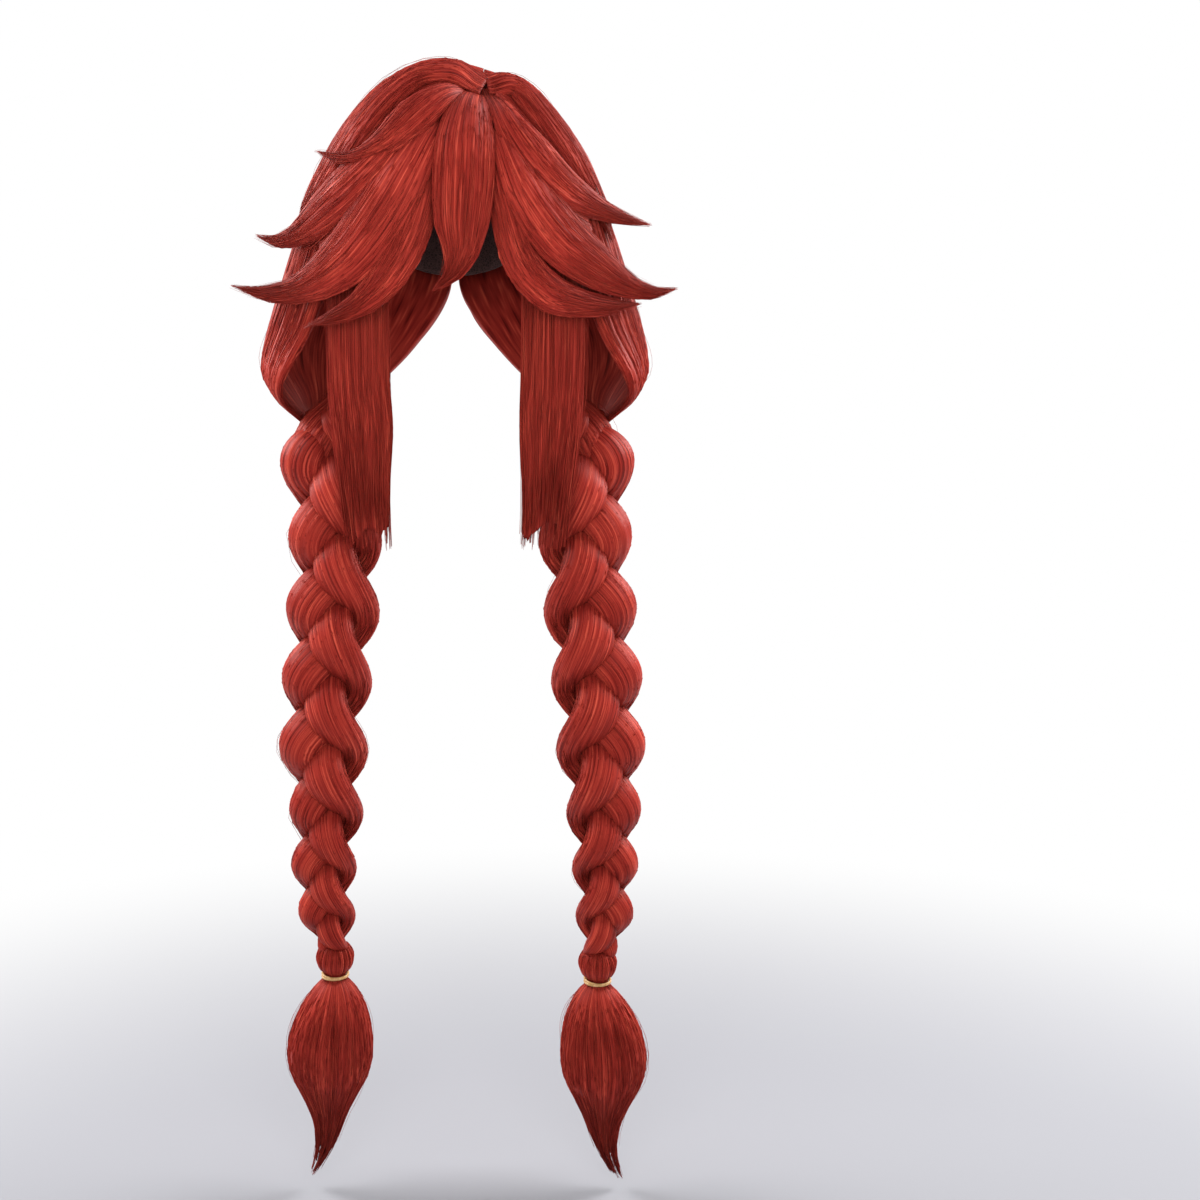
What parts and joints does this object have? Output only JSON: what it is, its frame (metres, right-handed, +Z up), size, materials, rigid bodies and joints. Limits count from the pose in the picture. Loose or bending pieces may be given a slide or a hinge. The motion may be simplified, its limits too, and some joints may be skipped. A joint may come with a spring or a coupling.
{
  "type": "pigtail wig",
  "caption": "Long red wig with a layered side-swept fringe, straight side locks and two thick three-strand braids ending in elastic bands and loose brushes of hair.",
  "frame": {"origin": "the inside of the cap on top of the wearer's head, in the middle of the head", "axes": "+Z up along the head, -Y the way the wearer faces, +X towards the wearer's left"},
  "size_m": [0.3676, 0.2485, 0.9307],
  "materials": {
    "hair": "soft sheen",
    "net": "matt open net",
    "elastic": "satin"
  },
  "bodies": {
    "root": {"band_left": "elastic", "band_right": "elastic", "bang_centre": "hair", "bang_left": "hair", "bang_right": "hair", "braid_left_strand_1": "hair", "braid_left_strand_2": "hair", "braid_left_strand_3": "hair", "braid_right_strand_1": "hair", "braid_right_strand_2": "hair", "braid_right_strand_3": "hair", "cap": "net", "crown_left": "hair", "crown_right": "hair", "flick_left_high": "hair", "flick_left_low": "hair", "flick_left_mid": "hair", "flick_right_high": "hair", "flick_right_low": "hair", "side_lock_left": "hair", "side_lock_right": "hair", "sweep_left": "hair", "sweep_right": "hair", "tail_left": "hair", "tail_right": "hair"}
  },
  "joints": []
}
